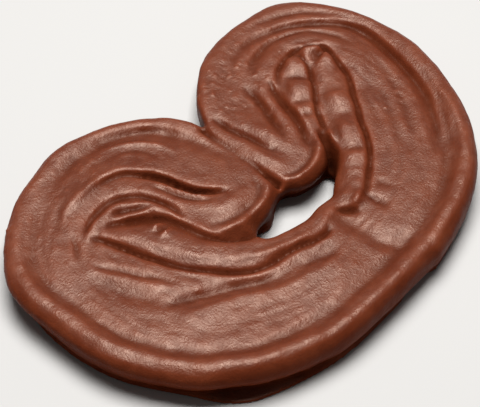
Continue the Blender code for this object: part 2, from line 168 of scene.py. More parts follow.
# The folds. Each is a line across the top with a width to the left of its run, a width to the right,
# a sharpness (2 is round, 1 is a crease) and points of x, y and height above the bands.
FOLDS = {
    # Larger roll, outer layers
    "far_layer_groove": (1.6, 2.2, 2.0, (
        (-36.0, 37.0, 0.0), (-31.0, 38.0, -0.3), (-25.0, 38.4, -0.5), (-19.0, 38.5, -0.7), (-12.0, 37.8, -0.9),
        (-6.0, 35.2, -1.1), (-2.0, 31.4, -1.1), (0.2, 27.4, -1.0), (1.8, 22.8, -0.7), (3.0, 18.0, -0.6),
        (3.6, 12.0, -0.4), (3.2, 7.0, 0.0))),
    "far_layer_ridge": (0.9, 0.8, 1.9, (
        (-18.0, 36.4, 0.0), (-14.6, 35.9, 0.3), (-11.0, 34.2, 0.5), (-7.6, 31.6, 0.7), (-5.2, 28.0, 0.7),
        (-3.8, 24.6, 0.4), (-3.4, 20.0, 0.0))),
    "second_layer_groove": (0.5, 0.9, 1.8, (
        (-30.0, 33.0, 0.0), (-24.0, 33.8, -0.12), (-19.0, 33.8, -0.15), (-13.0, 32.2, -0.2), (-9.2, 29.4, -0.3),
        (-7.6, 26.0, -0.3), (-7.0, 20.0, 0.0))),
    "third_layer_groove": (0.5, 0.9, 1.8, (
        (-41.8, 16.6, 0.0), (-40.6, 19.2, -0.6), (-38.8, 21.8, -0.5), (-37.4, 23.8, 0.0))),
    "third_layer_lip": (1.0, 1.1, 1.9, (
        (-38.0, 25.4, 0.0), (-34.6, 28.4, 0.35), (-30.0, 29.8, 0.45), (-25.0, 30.0, 0.45), (-20.0, 29.4, 0.4),
        (-16.8, 28.1, 0.3), (-14.6, 25.8, 0.2), (-12.8, 22.4, 0.0))),
    # The gap under the lip of the third layer
    "gap_lip": (6.0, 1.4, 1.8, (
        (-34.4, 28.6, 0.0), (-30.0, 29.4, 0.5), (-25.0, 29.6, 0.65), (-21.0, 29.3, 0.75), (-17.6, 28.6, 0.8),
        (-15.0, 27.0, 0.9), (-13.2, 24.4, 0.9), (-11.4, 21.9, 0.8), (-10.1, 19.0, 0.7), (-9.4, 15.4, 0.6),
        (-8.0, 11.6, 0.5), (-6.2, 8.4, 0.4), (-4.2, 5.6, 0.2), (-2.2, 4.0, 0.0))),
    "gap": (0.4, 0.6, 2.0, (
        (-25.0, 28.6, 0.0), (-21.4, 28.4, -0.6), (-18.2, 27.4, -0.9), (-15.8, 25.8, -1.0), (-14.2, 23.6, -1.4),
        (-12.6, 21.2, -2.4), (-11.4, 18.0, -3.2), (-10.6, 14.4, -3.4), (-9.2, 10.8, -3.2), (-7.6, 8.0, -2.6),
        (-6.0, 6.0, -1.0), (-4.6, 4.6, 0.0))),
    "gap_ledge": (0.35, 0.35, 1.5, (
        (-13.9, 19.8, 0.0), (-13.1, 17.4, 0.35), (-12.3, 14.4, 0.45), (-11.2, 11.2, 0.45), (-9.8, 8.6, 0.35),
        (-8.0, 6.4, 0.0))),
    "ledge_crease": (0.4, 0.6, 1.5, (
        (-14.9, 19.4, 0.0), (-14.2, 17.0, -0.6), (-13.5, 13.6, -0.8), (-12.4, 10.4, -0.8), (-10.9, 7.6, -0.6),
        (-9.2, 5.4, 0.0))),
    # The rounded layer inside the gap, and the flap that ends it
    "inner_layer": (2.0, 2.0, 2.2, (
        (-39.0, 18.4, 0.0), (-37.4, 22.2, 0.2), (-34.0, 25.6, 0.3), (-28.6, 26.6, 0.15), (-23.0, 25.9, 0.15),
        (-18.6, 23.0, 0.15), (-16.2, 17.8, 0.2), (-15.0, 12.4, 0.25), (-12.8, 7.2, 0.2), (-9.4, 3.2, 0.5),
        (-5.4, 1.8, 0.6), (-1.0, 2.4, 0.0))),
    "inner_groove": (0.5, 0.9, 2.0, (
        (-36.2, 20.4, 0.0), (-34.2, 22.1, -0.7), (-31.4, 23.3, -0.9), (-28.0, 23.8, -1.0), (-24.8, 23.7, -1.1),
        (-21.6, 22.3, -1.2), (-19.3, 20.0, -1.2), (-17.9, 17.0, -1.2), (-17.1, 13.8, -1.2), (-17.0, 10.4, -0.9),
        (-17.4, 7.0, 0.0))),
    "flap_lip": (0.6, 2.2, 1.8, (
        (-37.4, 18.6, 0.0), (-35.6, 20.3, 0.7), (-33.0, 21.2, 0.9), (-29.0, 21.6, 0.9), (-25.2, 21.8, 0.9),
        (-23.2, 20.3, 0.9), (-21.1, 18.1, 0.9), (-19.6, 16.0, 0.8), (-18.9, 12.8, 0.5), (-18.6, 9.6, 0.3),
        (-18.2, 6.6, 0.0))),
    "flap_hollow": (0.4, 0.7, 2.0, (
        (-28.6, 20.2, 0.0), (-26.2, 20.0, -0.6), (-24.0, 18.5, -0.8), (-21.9, 16.7, -0.7), (-20.4, 15.3, 0.0))),
    "flap_edge": (0.7, 0.9, 1.7, (
        (-29.2, 18.9, 0.0), (-27.0, 18.1, 0.4), (-25.0, 17.0, 0.5), (-22.6, 15.4, 0.5), (-20.6, 14.2, 0.4),
        (-19.6, 12.0, 0.0))),
    # The valley in front of the roll, and the folded band beyond it
    "left_valley": (0.6, 1.7, 2.0, (
        (-32.6, 19.0, 0.0), (-30.0, 18.4, -0.8), (-27.0, 16.8, -1.3), (-23.8, 14.4, -1.6), (-21.2, 11.4, -1.7),
        (-19.8, 7.6, -1.7), (-19.0, 3.4, -1.7), (-18.0, -0.4, -1.6), (-16.0, -4.0, -1.3), (-13.2, -7.2, -0.8),
        (-11.0, -9.0, 0.0))),
    "roll_end_fall": (1.8, 1.2, 2.0, (
        (-18.4, 3.0, 0.0), (-17.2, -1.0, -0.8), (-15.0, -4.4, -2.0), (-12.2, -6.6, -3.0), (-9.6, -7.0, -2.8),
        (-6.8, -5.8, -1.4), (-3.6, -4.8, 0.0))),
    "inner_band": (5.0, 2.4, 2.6, (
        (-33.8, 18.8, 0.0), (-33.0, 17.4, 0.6), (-31.2, 14.2, 0.8), (-29.2, 10.6, 0.9), (-27.6, 6.2, 1.0), (-25.9, 1.6, 1.0),
        (-23.4, -3.6, 1.0), (-20.2, -8.4, 1.0), (-16.4, -11.8, 0.9), (-12.0, -13.8, 0.8), (-8.0, -15.0, 0.7),
        (-3.0, -16.0, 0.6), (2.0, -16.0, 0.5), (6.0, -16.0, 0.3), (9.0, -16.6, 0.0))),
    "crest_bump_a": (0.8, 0.8, 2.0, ((-26.2, 10.4, 0.0), (-23.8, 10.2, 0.9), (-21.4, 10.0, 0.0))),
    "crest_dip": (0.7, 0.7, 2.0, ((-26.0, 8.7, 0.0), (-23.8, 8.5, -0.4), (-21.4, 8.3, 0.0))),
    "crest_bump_b": (0.8, 0.8, 2.0, ((-26.6, 7.2, 0.0), (-24.2, 7.0, 0.9), (-21.8, 6.8, 0.0))),
    "band_end_ridge": (0.9, 1.3, 1.8, (
        (-19.0, -10.6, 0.0), (-16.4, -12.6, 0.4), (-13.0, -14.6, 0.5), (-9.0, -16.0, 0.5), (-5.6, -17.2, 0.5),
        (-2.6, -18.3, 0.5), (0.6, -18.3, 0.5), (3.4, -17.2, 0.4), (6.0, -17.0, 0.3), (8.4, -18.0, 0.0))),
    "band_groove": (0.5, 0.6, 1.7, (
        (-36.4, 19.6, 0.0), (-35.2, 17.6, -1.0), (-34.0, 14.4, -1.5), (-33.0, 10.8, -1.6), (-31.9, 6.4, -1.6),
        (-30.5, 2.0, -1.5), (-28.6, -2.8, -1.5), (-26.0, -7.4, -1.5), (-22.8, -11.7, -1.5), (-19.4, -14.8, -1.4),
        (-15.2, -16.4, -1.3), (-11.0, -17.2, -1.2), (-7.2, -18.2, -1.3), (-4.2, -19.6, -1.3), (-0.8, -20.2, -1.1),
        (1.6, -19.4, 0.0))),
    "groove_bank": (0.5, 0.7, 1.7, (
        (-34.4, 6.8, 0.0), (-32.5, 2.6, 0.1), (-30.3, -2.8, 0.2), (-27.3, -8.2, 0.25), (-24.1, -12.4, 0.25),
        (-20.4, -16.0, 0.25), (-16.0, -17.8, 0.25), (-10.0, -19.0, 0.2), (-6.2, -20.6, 0.3), (-2.2, -21.6, 0.3),
        (1.6, -21.2, 0.0))),
    # End of the larger roll, over the hole
    "roll_end_lip": (1.1, 0.9, 1.8, (
        (-19.0, 5.0, 0.0), (-18.0, 1.2, 0.4), (-15.8, -1.7, 0.6), (-11.6, -3.2, 0.6), (-6.6, -3.9, 0.6),
        (-2.0, -3.3, 0.6), (1.6, -1.6, 0.5), (3.6, 1.2, 0.3), (4.2, 6.0, 0.0))),
    "roll_end_groove": (0.9, 0.8, 1.8, (
        (-16.6, 2.8, 0.0), (-14.4, 0.4, -0.35), (-10.8, -1.1, -0.45), (-6.0, -1.8, -0.45), (-2.0, -1.2, -0.45),
        (0.8, 0.8, -0.35), (2.2, 4.6, 0.0))),
    # Outer band of the larger roll
    "fold_step": (3.2, 1.7, 1.8, (
        (-42.6, 14.6, 0.0), (-41.6, 12.0, 0.4), (-40.4, 8.8, 0.6), (-38.9, 5.4, 0.65), (-37.1, 1.8, 0.65),
        (-35.6, -1.6, 0.6), (-34.6, -4.6, 0.4), (-34.0, -7.2, 0.0))),
    "fold_step_crease": (0.9, 1.3, 1.8, (
        (-41.2, 13.6, 0.0), (-40.2, 11.4, -0.6), (-38.9, 8.2, -0.9), (-37.4, 4.8, -0.9), (-35.8, 1.2, -0.8),
        (-34.4, -2.2, -0.5), (-33.6, -5.0, 0.0))),
    "fold_step_valley": (1.7, 2.3, 2.0, (
        (-44.0, 13.0, 0.0), (-43.8, 8.6, -0.4), (-42.6, 3.0, -0.5), (-40.6, -2.0, -0.5), (-37.6, -6.4, 0.0))),
    "bottom_fold_groove": (1.3, 1.7, 2.0, (
        (-40.6, -6.0, 0.0), (-37.0, -8.0, -0.9), (-32.2, -10.6, -1.1), (-27.6, -13.4, -1.1), (-23.6, -16.2, -1.1),
        (-20.4, -18.4, -0.9), (-17.4, -19.9, -0.5), (-14.0, -21.0, 0.0))),
    "bottom_fold_crest": (0.9, 3.4, 1.9, (
        (-42.0, -10.0, 0.0), (-36.4, -12.7, 0.5), (-31.0, -15.4, 0.6), (-26.0, -18.4, 0.6), (-21.4, -21.5, 0.5),
        (-15.0, -24.2, 0.4), (-8.0, -26.2, 0.35), (-1.0, -27.6, 0.0))),
    "bottom_fold_tail": (1.8, 1.2, 1.9, (
        (-17.0, -20.2, 0.0), (-12.4, -21.6, -0.5), (-8.6, -23.2, -0.6), (-5.6, -24.8, -0.5), (-3.4, -26.2, 0.0))),
    # Seams between the two halves
    "band_seam": (3.2, 2.0, 1.8, (
        (4.4, -18.0, 0.0), (4.7, -21.0, -0.8), (4.7, -26.2, -0.8), (5.4, -31.4, -0.8), (7.6, -35.2, -0.6),
        (9.6, -37.2, 0.0))),
    "cleft_seam": (0.7, 0.9, 1.4, (
        (6.5, 22.0, -1.6), (6.1, 18.0, -0.9), (5.6, 12.0, -0.6), (5.2, 6.4, -0.8), (5.0, 2.4, -2.2),
        (4.6, -2.0, -4.6))),
    # Smaller roll
    "near_layer_groove": (0.8, 1.0, 1.8, (
        (11.0, 23.4, 0.0), (11.0, 20.4, -0.9), (11.0, 15.6, -1.1), (11.3, 10.4, -1.0), (11.8, 5.6, -0.6),
        (12.6, 1.4, 0.0))),
    "near_layer_crest": (2.2, 1.6, 1.9, (
        (15.4, 21.0, 0.0), (14.6, 14.2, 0.5), (15.0, 8.0, 0.5), (16.0, 2.0, 0.0))),
    "cleft_crest": (1.2, 1.2, 1.9, (
        (9.0, 18.0, 0.0), (8.6, 13.0, 0.3), (8.6, 7.0, 0.4), (9.0, 2.0, 0.4), (9.8, -1.4, 0.0))),
    "roll_crease": (0.9, 1.0, 1.8, (
        (24.4, 24.0, 0.0), (23.2, 21.6, -0.8), (21.9, 17.6, -1.0), (20.3, 13.8, -1.0), (18.4, 10.0, -1.0),
        (16.8, 6.6, -0.6), (15.6, 3.6, 0.0))),
    "second_roll_crease": (0.7, 1.0, 1.8, (
        (29.0, 20.4, 0.0), (27.5, 17.8, -0.9), (25.8, 14.2, -1.1), (24.1, 10.6, -1.1), (22.5, 7.0, -1.1),
        (20.9, 3.8, -0.9), (18.9, 1.2, -0.5), (17.4, -0.6, 0.0))),
    "crest_between_creases": (1.4, 1.8, 1.9, (
        (27.4, 21.6, 0.0), (25.0, 17.6, 0.3), (23.0, 12.8, 0.35), (20.8, 8.4, 0.3), (18.4, 3.6, 0.0))),
    "flank_ridge": (0.8, 0.8, 1.8, (
        (30.4, 20.0, 0.0), (28.6, 16.8, 0.3), (27.0, 12.8, 0.3), (25.4, 9.4, 0.3), (23.8, 5.8, 0.3),
        (22.6, 2.8, 0.0))),
    "roll_lip": (1.0, 1.5, 1.8, (
        (4.6, -0.6, 0.0), (5.8, -2.8, 0.5), (7.9, -4.3, 0.7), (10.4, -5.0, 0.8), (13.4, -5.0, 0.8),
        (16.6, -4.0, 0.8), (19.2, -2.4, 0.8), (21.2, -0.4, 0.6), (22.4, 2.0, 0.3), (23.0, 4.4, 0.0))),
    "lip_groove": (0.6, 0.7, 1.8, (
        (6.6, -0.8, 0.0), (8.4, -2.5, -0.4), (11.0, -3.2, -0.5), (14.0, -3.1, -0.5), (16.6, -2.0, -0.5),
        (18.6, 0.0, -0.4), (19.6, 3.0, 0.0))),
    "slot": (1.0, 1.2, 2.4, (
        (12.6, -9.0, 0.0), (15.4, -8.4, -5.0), (18.2, -7.0, -7.0), (20.2, -5.2, -6.4), (21.4, -3.4, -3.6),
        (22.6, -1.2, -1.6), (24.2, 1.2, 0.0))),
    "ridge_shoulder": (0.9, 0.9, 1.8, (
        (25.8, -0.4, 0.0), (24.4, -1.8, 0.8), (23.0, -3.2, 1.1), (21.6, -4.6, 0.8), (20.4, -6.0, 0.0))),
    # The hairpin: two rounded ridges side by side, with a layer bent round their head
    "hairpin_left": (3.5, 2.9, 3.4, (
        (39.6, 21.2, 0.0), (38.6, 20.0, 1.0), (37.4, 18.8, 1.6), (36.0, 17.4, 1.4), (34.6, 16.0, 0.6),
        (33.6, 15.0, 0.3), (32.6, 14.0, 1.3), (31.4, 12.6, 1.6), (29.8, 10.8, 1.3), (28.4, 9.2, 0.5),
        (27.8, 8.4, 0.9), (26.8, 7.2, 1.2), (25.6, 5.8, 0.5), (24.8, 4.8, 0.7), (23.6, 2.8, 0.5),
        (22.4, 0.4, 0.0))),
    "hairpin_right": (3.0, 3.1, 3.4, (
        (45.4, 21.0, 0.0), (44.8, 20.3, 1.1), (44.0, 19.3, 1.6), (43.3, 18.3, 1.3), (42.8, 17.3, 0.7),
        (42.7, 16.2, 0.6), (43.0, 14.9, 1.4), (42.4, 13.6, 1.3), (41.0, 11.7, 0.9), (39.2, 9.6, 0.8),
        (37.6, 7.7, 0.8), (36.2, 5.8, 0.7), (35.4, 4.6, 1.4), (34.2, 2.6, 1.2), (32.6, 0.4, 0.5),
        (31.6, -0.9, 0.4), (30.4, -2.3, 0.8), (28.8, -4.2, 1.5), (27.0, -6.2, 1.2), (25.2, -8.2, 0.8),
        (24.0, -9.6, 0.5), (22.8, -10.9, 1.2), (21.2, -12.3, 1.0), (19.8, -13.6, 0.7), (18.8, -14.3, 0.9),
        (17.4, -15.4, 0.7), (16.2, -16.2, 0.8), (14.2, -17.3, 0.7), (11.8, -18.2, 0.9), (9.8, -19.0, 0.5),
        (8.4, -19.8, 0.0))),
    "hairpin_crevice": (0.5, 0.45, 1.6, (
        (40.6, 21.4, 0.0), (40.2, 19.8, -1.0), (39.7, 17.8, -1.3), (38.4, 15.2, -1.4), (36.2, 13.0, -1.6),
        (34.2, 10.8, -1.6), (31.4, 8.0, -1.4), (28.8, 5.4, -1.4), (27.0, 3.2, -2.0), (25.6, 1.2, -1.6),
        (24.2, -0.6, 0.0))),
    "head_crease": (0.5, 0.6, 1.6, (
        (47.4, 16.6, 0.0), (45.2, 16.2, -0.7), (43.0, 15.8, -0.6), (41.0, 15.2, 0.0))),
    "ring_ridge": (5.0, 3.8, 1.8, (
        (27.6, 14.0, 0.0), (29.4, 18.6, 0.4), (32.2, 22.8, 0.7), (35.4, 25.3, 0.9), (39.2, 26.2, 0.95),
        (43.0, 25.3, 0.95), (46.4, 22.7, 0.95), (48.6, 19.2, 0.9), (49.3, 15.0, 0.9), (48.8, 10.6, 0.8),
        (47.0, 5.4, 0.4), (44.0, 0.2, 0.0))),
    "ring_outer_groove": (0.9, 1.6, 1.9, (
        (27.6, 24.4, 0.0), (31.4, 27.3, -0.9), (35.6, 28.7, -1.2), (40.2, 28.7, -1.2), (44.6, 27.3, -1.2),
        (48.4, 24.8, -1.1), (50.9, 20.9, -0.9), (51.8, 16.4, -0.6), (51.4, 11.0, 0.0))),
    "ring_inner_groove": (0.4, 0.7, 2.0, (
        (26.4, 12.8, 0.0), (28.6, 16.8, -0.5), (31.6, 19.8, -1.0), (35.0, 21.5, -1.3), (38.4, 22.1, -1.3),
        (41.8, 21.8, -1.3), (44.7, 20.3, -1.4), (46.5, 17.9, -1.5), (46.3, 14.8, -1.6), (44.7, 11.2, -1.6),
        (43.0, 7.4, -1.6), (40.5, 4.0, -1.6), (37.7, 1.0, -1.6), (34.6, -2.6, -1.6), (32.0, -5.8, -1.6),
        (29.4, -9.0, -1.6), (25.4, -12.6, -1.6), (21.4, -15.8, -1.5), (18.0, -18.0, -1.3), (14.6, -19.8, -0.8),
        (12.0, -20.6, 0.0))),
    "seam_crumple": (0.6, 0.6, 1.5, (
        (5.4, -17.2, 0.0), (6.8, -18.6, -1.2), (8.2, -20.4, -1.5), (9.4, -22.2, 0.0))),
    "seam_crumple_lip": (0.9, 1.0, 1.8, (
        (8.4, -20.0, 0.0), (10.2, -20.0, 0.7), (12.8, -19.2, 0.7), (14.6, -18.4, 0.0))),
    "seam_dimple": (1.2, 0.9, 1.8, (
        (14.2, -19.4, 0.0), (14.2, -21.4, -0.7), (14.3, -24.0, -0.6), (14.4, -26.6, 0.0))),
    "seam_dimple_b": (1.2, 0.8, 1.8, (
        (19.6, -19.2, 0.0), (19.6, -21.0, -0.4), (19.6, -24.0, 0.0))),
    # Outer band and rim of the smaller roll
    "outer_groove": (0.9, 1.9, 2.0, (
        (28.0, 33.2, 0.0), (33.0, 33.2, -0.4), (38.6, 32.6, -0.8), (44.2, 30.8, -1.1), (49.8, 27.6, -1.3),
        (54.4, 23.2, -1.4), (57.3, 18.0, -1.5), (58.1, 12.4, -1.6), (57.0, 6.4, -1.6), (55.0, 0.4, -1.6),
        (52.1, -6.4, -1.5), (48.9, -12.0, -1.4), (44.2, -17.6, -1.1), (39.4, -22.6, -0.8), (35.0, -26.6, 0.0))),
    "rim_crease": (0.7, 1.0, 1.8, (
        (40.0, 36.2, 0.0), (44.6, 35.0, -0.4), (49.6, 32.6, -0.6), (54.2, 29.0, -0.6), (57.6, 24.4, -0.5),
        (59.2, 19.8, -0.3), (59.8, 16.0, 0.0))),
    "band_streak_a": (1.3, 1.2, 1.9, (
        (51.8, 8.0, 0.0), (49.4, 0.4, -0.35), (45.4, -6.6, -0.4), (40.4, -12.8, -0.35), (34.4, -18.6, 0.0))),
    "band_streak_b": (1.0, 1.0, 1.9, (
        (45.0, 2.0, 0.0), (42.2, -4.4, -0.25), (37.6, -10.8, -0.3), (31.6, -16.8, 0.0))),
}

# Where small pimples stand on the coat: middle x, y, reach, number.
PIMPLE_REGIONS = (
    (22.0, 26.0, 10.0, 90), (36.0, 30.0, 9.0, 30), (17.0, 12.0, 8.0, 30), (-24.0, 33.0, 10.0, 40),
    (-46.0, 30.0, 9.0, 25), (42.0, -4.0, 12.0, 45),
)


def curve_through(rows, step, closed=False):
    """Rows step apart on a smooth curve through the given rows, in as many columns as they have."""
    given = np.array(rows, float)
    count = len(given) if closed else len(given) - 1
    if closed:
        padded = np.vstack([given[-1:], given, given[:2]])
    else:
        padded = np.vstack([2 * given[0] - given[1], given, 2 * given[-1] - given[-2]])
    found = []
    for i in range(count):
        before, start, end, after = padded[i : i + 4]
        steps = max(2, round(np.linalg.norm((end - start)[:2]) / step))
        for t in np.arange(steps)[:, None] / steps:
            found.append(0.5 * (2 * start + (end - before) * t
                                + (2 * before - 5 * start + 4 * end - after) * t**2
                                + (3 * start - before - 3 * end + after) * t**3))
    if not closed:
        found.append(given[-1])
    return np.vstack(found)


def nearest_on(curve, places):
    """For each place: signed distance to the curve (left of its run is positive), row there, way along."""
    starts, steps = curve[:-1, :2], np.diff(curve[:, :2], axis=0)
    lengths = np.linalg.norm(steps, axis=1)
    along = np.concatenate([[0.0], np.cumsum(lengths)])
    distance = np.full(len(places), np.inf)
    side = np.zeros(len(places))
    position = np.zeros(len(places))
    for i, (start, step, length) in enumerate(zip(starts, steps, lengths)):
        offset = places - start
        share = np.clip(offset @ step / length**2, 0, 1)
        found = np.hypot(offset[:, 0] - share * step[0], offset[:, 1] - share * step[1])
        nearer = found < distance
        distance[nearer] = found[nearer]
        side[nearer] = np.sign(step[0] * offset[nearer, 1] - step[1] * offset[nearer, 0])
        position[nearer] = i + share[nearer]
    index = np.minimum(position.astype(int), len(curve) - 2)
    share = (position - index)[:, None]
    row = curve[index] * (1 - share) + curve[index + 1] * share
    travelled = along[index] + share[:, 0] * lengths[index]
    return distance * side, row, travelled, along[-1]


def fold_relief(places):
    """Height that the folds add at each place."""
    relief = np.zeros(len(places))
    for left, right, sharpness, rows in FOLDS.values():
        distance, row, _, _ = nearest_on(curve_through(rows, FOLD_STEP), places)
        width = np.where(distance > 0, left, right)
        relief += row[:, 2] * np.exp(-(np.abs(distance) / width) ** sharpness)
    return relief


def rim_relief(places):
    """The raised rim along the outline with its knobs, the groove inside it, and the dough's thin layers."""
    distance, row, travelled, _ = nearest_on(curve_through(OUTLINE, FOLD_STEP), places)
    inset = np.abs(distance)
    knobs = 1 + RIM_KNOBS * wandering(np.column_stack([travelled, inset * 0.4, inset * 0]), RIM_KNOB_LENGTH, 8)
    past = inset - row[:, 3]
    crest = np.exp(-(past / np.where(past < 0, row[:, 3] * RIM_OUTER_SPREAD, RIM_INNER_WIDTH)) ** 2)
    groove = np.exp(-((inset - RIM_GROOVE_INSET) / RIM_GROOVE_WIDTH) ** 2)
    along = np.column_stack([inset, travelled / LAYER_STRETCH, inset * 0])
    layers = LAYER_HEIGHT * np.clip(row[:, 2] / LAYER_FADE, 0, 1) * wandering(along, LAYER_SPACING, 9)
    return row[:, 2] * (crest * knobs - RIM_GROOVE_SHARE * groove) + layers


def wandering(places, size, seed):
    """Smooth noise at each place, from about -1 to 1, with bumps about size millimetres wide."""
    shift = Vector((seed * 17.3, seed * 7.1, seed * 3.7))
    return np.array([noise.noise(Vector(place) / size + shift) for place in places])


def wall_inset(height, rows, top):
    """How far the wall stands back from the outline at a height: upper edge, undercut, waist and foot."""
    rounding, nose, waist, ground = rows[:, 3:].T
    edge = np.minimum(rounding, top - nose)
    above = np.clip((height - top + edge) / edge, 0, 1)
    below = np.clip((nose - height) / (nose - WAIST_LEVEL), 0, 1)
    inset = rounding * (1 - np.sqrt(1 - above**2)) + waist * below**UNDERCUT_CURVE
    share = max(1 - height / WAIST_LEVEL, 0)
    inset += (ground - waist) * (3 * share**2 - 2 * share**3)
    return inset + GROUND_ROUNDING * max(1 - height / GROUND_ROUNDING, 0) ** 2


def outward_of(ring):
    """The outward direction at each point of a closed ring that runs counter-clockwise."""
    run = np.roll(ring[:, :2], -1, axis=0) - np.roll(ring[:, :2], 1, axis=0)
    across = np.column_stack([run[:, 1], -run[:, 0]])
    return across / np.linalg.norm(across, axis=1)[:, None]


def raise_wall(shell, rows, away, top):
    """A wall of rings, one above the other. Gives the edges of its lowest and its highest ring."""
    ring = bmesh.ops.create_circle(shell, segments=len(rows), radius=1)["verts"]
    edges = list({edge for vert in ring for edge in vert.link_edges})
    lowest = edges
    for number, share in enumerate(WALL_LEVELS):
        height = share * top
        if number:
            made = bmesh.ops.extrude_edge_only(shell, edges=edges)["geom"]
            edges = [part for part in made if isinstance(part, bmesh.types.BMEdge)
                     and all(vert in made for vert in part.verts)]
            fresh = {vert for edge in edges for vert in edge.verts}
            ring = [edge.other_vert(vert) for vert in ring for edge in vert.link_edges
                    if edge.other_vert(vert) in fresh]
        places = rows[:, :2] - away * wall_inset(height, rows, top)[:, None]
        for vert, place in zip(ring, places):
            vert.co = (place[0], place[1], height)
    return lowest, edges


def blank_shell(settings):
    """The pastry without its relief: outer wall, hole wall and flat faces, as one closed bmesh."""
    shell = bmesh.new()
    top = settings.band_height / MM
    outline = curve_through(OUTLINE, WALL_STEP)[:-1]
    outline = outline[::-1] if runs_clockwise(outline) else outline
    hole = curve_through(HOLE, WALL_STEP, closed=True)
    hole = hole[::-1] if runs_clockwise(hole) else hole
    level = np.ones(len(hole))
    hole = np.column_stack([hole[:, :2], 0 * level, settings.hole_rounding / MM * level, HOLE_NOSE * level,
                            hole[:, 2], hole[:, 2]])
    outer_low, outer_high = raise_wall(shell, outline, outward_of(outline), top)
    hole_low, hole_high = raise_wall(shell, hole, -outward_of(hole), top)
    bmesh.ops.triangle_fill(shell, use_beauty=True, edges=outer_low + hole_low)
    bmesh.ops.triangle_fill(shell, use_beauty=True, edges=outer_high + hole_high)
    bmesh.ops.recalc_face_normals(shell, faces=shell.faces)
    return shell


def runs_clockwise(ring):
    """Whether a closed ring of points runs clockwise."""
    x, y = ring[:, 0], ring[:, 1]
    return np.sum(x * np.roll(y, -1) - y * np.roll(x, -1)) < 0


def mesh_of(piece):
    """A new mesh of a piece as its modifiers leave it."""
    evaluated = piece.evaluated_get(bpy.context.evaluated_depsgraph_get())
    return bpy.data.meshes.new_from_object(evaluated)


def take_mesh(piece, mesh):
    """Gives a piece a new mesh, and drops its modifiers and the mesh it had."""
    old = piece.data
    piece.modifiers.clear()
    piece.data = mesh
    bpy.data.meshes.remove(old)


def reskin(piece, voxel, rounds):
    """An even mesh over the piece's surface, with squares voxel millimetres wide."""
    skin = piece.modifiers.new("even_skin", "REMESH")
    skin.mode = "VOXEL"
    skin.voxel_size = voxel
    skin.use_smooth_shade = True
    settle = piece.modifiers.new("settle", "SMOOTH")
    settle.factor = 0.5
    settle.iterations = rounds
    take_mesh(piece, mesh_of(piece))


def places_of(mesh):
    """The mesh's vertices as rows of x, y and z."""
    flat = np.empty(len(mesh.vertices) * 3)
    mesh.vertices.foreach_get("co", flat)
    return flat.reshape(-1, 3)


def normals_of(mesh):
    """The directions that the mesh's vertices face."""
    flat = np.empty(len(mesh.vertices) * 3)
    mesh.vertex_normals.foreach_get("vector", flat)
    return flat.reshape(-1, 3)


def move_to(mesh, places):
    """Puts the mesh's vertices at the given places."""
    mesh.vertices.foreach_set("co", places.ravel())
    mesh.update()


def raise_relief(mesh, settings):
    """Lifts and sinks the upper side by the folds, the rim and the long waves of the dough."""
    top = settings.band_height / MM
    places = places_of(mesh)
    upper = places[:, 2] > RELIEF_FOOT
    plan = places[upper, :2]
    flat = np.column_stack([plan, np.zeros(len(plan))])
    waver = settings.waver / MM
    shift = np.column_stack([wandering(flat, WAVER_LENGTH, seed) for seed in (1, 2)]) * waver
    relief = settings.fold_depth * fold_relief(plan + shift)
    relief += settings.rim_height * rim_relief(plan + shift * 0.6)
    relief += settings.swell / MM * wandering(flat, SWELL_LENGTH, 3)
    relief = np.clip(relief, LOWEST_RELIEF, HIGHEST_RELIEF)
    share = (places[upper, 2] - RELIEF_FOOT) / (top - RELIEF_FOOT)
    places[upper, 2] += share * relief
    move_to(mesh, places)


def roughen(mesh, settings):
    """The coat's own unevenness, along the surface's normals: waves, grain and small pimples."""
    places, normals = places_of(mesh), normals_of(mesh)
    free = np.clip((places[:, 2] - 0.3) / 1.5, 0, 1)
    move = np.zeros(len(places))
    for height, size, seed in COAT_WAVES:
        move += height * settings.coat_unevenness * wandering(places, size, seed)
    chance = random.Random(settings.seed)
    for x, y, reach, count in PIMPLE_REGIONS:
        for _ in range(count):
            angle, way = chance.uniform(0, 2 * math.pi), reach * math.sqrt(chance.random())
            middle = (x + way * math.cos(angle), y + way * math.sin(angle))
            width, height = chance.uniform(0.28, 0.55), chance.uniform(0.05, 0.17)
            away = np.hypot(places[:, 0] - middle[0], places[:, 1] - middle[1])
            near = (away < 3 * width) & (normals[:, 2] > 0.4)
            move[near] += height * settings.pimple_height * np.exp(-(away[near] / width) ** 2)
    move_to(mesh, places + normals * (move * free)[:, None])


def note_hollows(piece):
    """Notes on each vertex how far it stands above its smoothed surroundings, less in the hole's painted shade, and
    how far it faces up; the material paints light and shade from both.
    """
    mesh = piece.data
    settle = piece.modifiers.new("settle", "SMOOTH")
    settle.factor = 0.5
    settle.iterations = HOLLOW_ROUNDS
    smoothed = mesh_of(piece)
    piece.modifiers.clear()
    places = places_of(mesh)
    standing = np.sum((places - places_of(smoothed)) * normals_of(mesh), axis=1)
    bpy.data.meshes.remove(smoothed)
    standing[places[:, 2] < UNDERSIDE_LEVEL] = 0
    # Painted shade in the hole: places low in it and near its outline are marked to be coloured darker.
    hole = curve_through(HOLE, FOLD_STEP, closed=True)
    distance, _, _, _ = nearest_on(np.vstack([hole, hole[:1]]), places[:, :2])
    in_hole = (np.abs(distance) < HOLE_SHADE_REACH) & (places[:, 2] > UNDERSIDE_LEVEL)
    painted_hole_shade = np.clip((HOLE_SHADE_TOP - places[:, 2]) / HOLE_SHADE_FADE, 0, 1) * in_hole
    # Painted light and shade: the material pales the crests and darkens the hollows by this note.
    crests = mesh.attributes.new("crest", "FLOAT", "POINT")
    crests.data.foreach_set("value", np.clip(standing / HOLLOW_DEPTH, -1, 1) - HOLE_PAINTED_SHADE * painted_hole_shade)
    upward = mesh.attributes.new("upward", "FLOAT", "POINT")
    upward.data.foreach_set("value", np.clip(normals_of(mesh)[:, 2] / UPWARD_LEVEL, 0, 1))


